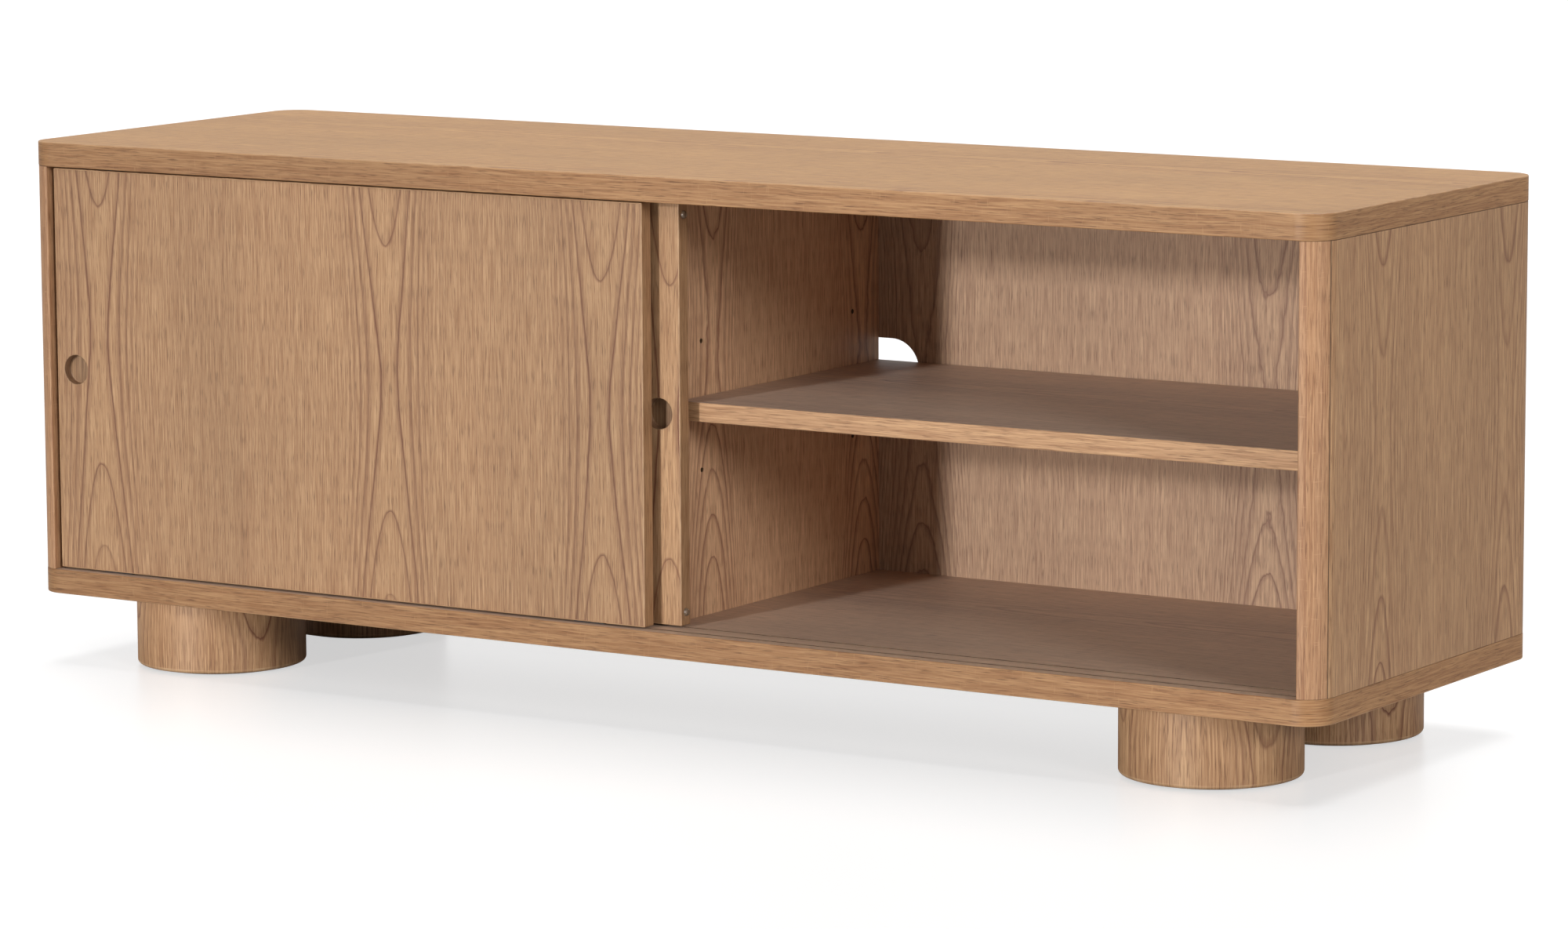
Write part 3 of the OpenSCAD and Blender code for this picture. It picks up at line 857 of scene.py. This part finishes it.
def pull_cutter(cutters, centre):
    """Adds the turned shape of a finger pull, with an eased mouth and a rounded floor."""
    mouth = pull_radius + pull_lip
    rings = [(mouth + clear_of, -clear_of), (mouth, 0.0)]
    for k in range(1, 5):
        turn = k / 4 * math.pi / 2
        rings.append((pull_radius + pull_lip * (1 - math.sin(turn)), pull_lip * (1 - math.cos(turn))))
    for k in range(5):
        turn = k / 4 * math.pi / 2
        inset = pull_floor_round * (1 - math.cos(turn))
        rings.append((pull_radius - inset, pull_depth - pull_floor_round * (1 - math.sin(turn))))
    segments = 64
    loops = []
    for radius, deep in rings:
        loop = []
        for k in range(segments):
            angle = 2 * math.pi * k / segments
            spoke = Vector((radius * math.cos(angle), deep, radius * math.sin(angle)))
            loop.append(cutters.verts.new(centre + spoke))
        loops.append(loop)
    for a, b in zip(loops, loops[1:]):
        for k in range(segments):
            j = (k + 1) % segments
            cutters.faces.new((a[k], b[k], b[j], a[j]))
    cutters.faces.new(loops[0])
    cutters.faces.new(loops[-1][::-1])


def glide_slots(cutters, door_name, low, high):
    """Adds the slots in a door's lower and upper edges that its glides and guides sit in."""
    half = Vector((20 * MM, 5 * MM, 0))
    slot_depth = 12 * MM
    for fittings, start, end in (
        ("_glides", low.z - clear_of, low.z + slot_depth),
        ("_top_guides", high.z - slot_depth, high.z + clear_of),
    ):
        for block_low, block_high in solids(door_name + fittings):
            middle = (block_low + block_high) / 2
            low_corner = Vector((middle.x, middle.y, start)) - half
            box_cutter(cutters, low_corner, Vector((middle.x, middle.y, end)) + half)


door_lipping = oak(
    "door_lipping", seed=14.9, heart=-0.05, depth=0.02, belly=0.0, figure=0.7, tone=0.84
)
# The finger pull's wall and floor are painted darker than the door, as painted shade in the recess, the
# wall darkest
PULL_FLOOR_SHADE = 3
pull_floor_shade = oak("pull_floor_shade", seed=18.8, heart=-0.05, figure=0.6, tone=0.62)
pull_wall_shade = oak("pull_wall_shade", seed=16.3, heart=-0.05, figure=0.6, tone=0.50, warm=1.0)
clear = Finish("clear_gel")
spot = clear.add("TexCoord", {}, "Object")
bloom = clear.noise(clear.add("SeparateXYZ", {"Vector": spot}, "X"), 0.0, 4.0)
clear.show(
    Base_Color=stain(196, 178, 156), Transmission_Weight=0.85, IOR=1.48,
    Roughness=clear.scaled(bloom, 0.3, 0.7, 0.30, 0.42),
)

doors = {
    "front_door": {"pull_side": -1, "seed": 169.0, "joint": -0.170, "heart": 0.128, "tone": 0.86},
    "rear_door": {"pull_side": 1, "seed": 154.0, "joint": -0.110, "heart": 0.132, "tone": 0.98},
}
for node, own in doors.items():
    body = node + "_unit"
    low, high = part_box(node)
    r = 1.1 * MM
    outline = rounded([(low.x, low.z, r), (high.x, low.z, r), (high.x, high.z, r), (low.x, high.z, r)])
    door = board(node + "_leaf", outline, "y", low.y, high.y, "z", worn_and_highlit=("low", "high"))
    edge = low.x if own["pull_side"] < 0 else high.x
    centre = Vector((edge - own["pull_side"] * pull_from_edge, low.y, (low.z + high.z) / 2))
    cutters = bmesh.new()
    pull_cutter(cutters, centre)
    glide_slots(cutters, node, low, high)
    bmesh.ops.recalc_face_normals(cutters, faces=cutters.faces[:])
    machined(door, cutters, "z")
    # The pull's floor takes the lighter painted shade, its wall the darker one
    for face in door.data.polygons:
        if face.material_index == CORE_OR_SHADE and abs(face.normal.y) > 0.7:
            face.material_index = PULL_FLOOR_SHADE
    door_veneer = oak(
        node + "_veneer", seed=own["seed"], leaf=0.3115, joint=own["joint"], heart=own["heart"],
        depth=39.3 * MM, belly=0.33, middle=0.305, ring=6.94 * MM, uneven=0.1, waver=0.7,
        tone=own["tone"],
    )
    finished(door, body, node, "oak_veneer", door_veneer, door_lipping, pull_wall_shade, pull_floor_shade)

# ---------------------------------------------------------------------------------------------
# Fittings: zinc-plated pins, screws, bolts, nuts and cam locks, birch dowels, black nylon glides
# and grey felt discs, as bought. They keep their exact shapes from the drawing.


def grainy(name, scale, detail, **settings):
    """A new finish, and noise of one scale through the piece to vary it with."""
    mix = Finish(name)
    spot = mix.add("TexCoord", {}, "Object")
    return mix, mix.add("TexNoise", {"Vector": spot, "Scale": scale, "Detail": detail, **settings})


zinc, spangle = grainy("zinc_plate", 900.0, 3.0)
zinc.show(
    Metallic=1.0,
    Base_Color=zinc.blend(zinc.scaled(spangle, 0.3, 0.7), stain(176, 178, 180), stain(206, 207, 206)),
    Roughness=zinc.scaled(spangle, 0.3, 0.7, 0.24, 0.42),
)

nylon, mould = grainy("black_nylon", 1400.0, 2.0)
nylon.show(
    Base_Color=nylon.blend(mould, stain(30, 30, 32), stain(44, 44, 46)),
    Roughness=nylon.scaled(mould, 0.3, 0.7, 0.38, 0.52),
)

felt, fibre = grainy("pressed_felt", 2600.0, 5.0, Distortion=1.2)
felt.show(
    Base_Color=felt.blend(fibre, stain(62, 58, 54), stain(120, 114, 108)),
    Roughness=0.95,
    Normal=felt.add("Bump", {"Height": fibre, "Strength": 0.6, "Distance": 0.3 * MM}),
)

birch = Finish("dowel_birch")
spot = birch.add("TexCoord", {}, "Object")
drawn = birch.add("Mapping", {"Vector": spot, "Scale": (900, 900, 40)})
fibre = birch.add("TexNoise", {"Vector": drawn, "Scale": 1.0, "Detail": 3.0})
birch.show(
    Base_Color=birch.blend(fibre, stain(188, 156, 118), stain(222, 196, 160)),
    Roughness=birch.scaled(fibre, 0.3, 0.7, 0.55, 0.7),
)

fitted = {
    zinc: [
        "back_panel_screws", "left_shelf_pins", "right_shelf_pins", "foot_bolts", "foot_insert_nuts",
        "top_cam_bolts", "bottom_cam_bolts", "top_cam_locks", "bottom_cam_locks",
    ],
    nylon: ["front_door_glides", "front_door_top_guides", "rear_door_glides", "rear_door_top_guides"],
    felt: ["foot_pads"],
    birch: ["foot_dowels", "top_dowels", "bottom_dowels"],
    clear: ["front_door_bumpers", "rear_door_bumpers"],
}
for finish, nodes in fitted.items():
    for node in nodes:
        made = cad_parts[node]
        made.data.materials.clear()
        made.data.materials.append(finish.material)

# ---------------------------------------------------------------------------------------------
# Studio: a pale seamless floor, one soft light high overhead, sharper ones low in front and at the
# front right, weak fills in front, on the right and behind, and a long lens looking slightly down.

floor_mesh = bpy.data.meshes.new("studio_floor")
reach = 60.0
floor_mesh.from_pydata(
    [(-reach, -reach, 0), (reach, -reach, 0), (reach, reach, 0), (-reach, reach, 0)], [], [(0, 1, 2, 3)]
)
floor = bpy.data.objects.new("studio_floor", floor_mesh)
bpy.context.scene.collection.objects.link(floor)
paper, mottle = grainy("studio_paper", 3.0, 2.0)
seen = paper.add("LightPath", {}, "Is Camera Ray")
paper.show(
    Base_Color=paper.blend(mottle, stain(166, 166, 166), stain(169, 169, 169)),
    Emission_Color=(1, 1, 1, 1),
    Emission_Strength=paper.times(seen, 0.60),
    Roughness=0.30,
    Specular_IOR_Level=0.25,
)
floor_mesh.materials.append(paper.material)

# White to look at and in reflections, but a weak light on matt surfaces
world = bpy.data.worlds.new("studio")
bpy.context.scene.world = world
world.use_nodes = True
sky = world.node_tree
path = sky.nodes.new("ShaderNodeLightPath")
level = sky.nodes.new("ShaderNodeMapRange")
level.inputs["To Min"].default_value = 0.13
level.inputs["To Max"].default_value = 0.45
sky.links.new(path.outputs["Is Glossy Ray"], level.inputs["Value"])
bright = sky.nodes.new("ShaderNodeMath")
bright.operation = "MAXIMUM"
sky.links.new(level.outputs["Result"], bright.inputs[0])
sky.links.new(path.outputs["Is Camera Ray"], bright.inputs[1])
sky.links.new(bright.outputs["Value"], sky.nodes["Background"].inputs["Strength"])
sky.nodes["Background"].inputs["Color"].default_value = (1, 1, 1, 1)


def lamp(name, strength, softness, azimuth, elevation):
    """An even light from far away, by its angular size and the direction that it comes from.
    Azimuth 0 is straight in front of the stand, and 90 is at its right. Angles in degrees."""
    light = bpy.data.lights.new(name, "SUN")
    light.energy = strength
    light.angle = math.radians(softness)
    made = bpy.data.objects.new(name, light)
    bpy.context.scene.collection.objects.link(made)
    made.rotation_euler = (math.radians(90 - elevation), 0, math.radians(azimuth))


lamp("overhead", 2.45, 40, 180, 80)
lamp("rear", 0.20, 60, 205, 22)
lamp("front_high", 1.15, 4, -8.5, 12.5)
lamp("front_low", 0.95, 4, -8.5, 5)
lamp("front_fill", 0.35, 80, 5, 18)
lamp("front_right", 1.10, 16, 66, 17)
lamp("right", 0.25, 30, 100, 35)

camera_data = bpy.data.cameras.new("camera")
camera_data.sensor_width = 36
camera_data.lens = 137.6
camera_data.clip_end = 200
camera = bpy.data.objects.new("camera", camera_data)
bpy.context.scene.collection.objects.link(camera)
standing_at = Matrix.Translation((3.2194, -5.0055, 1.0978))
heading = Matrix.Rotation(math.radians(32.494), 4, "Z")
looking_down = Matrix.Rotation(math.radians(90 - 8.248), 4, "X")
roll = Matrix.Rotation(math.radians(-0.280), 4, "Z")
camera.matrix_world = standing_at @ heading @ looking_down @ roll
bpy.context.scene.camera = camera
bpy.context.scene.view_settings.view_transform = "Standard"
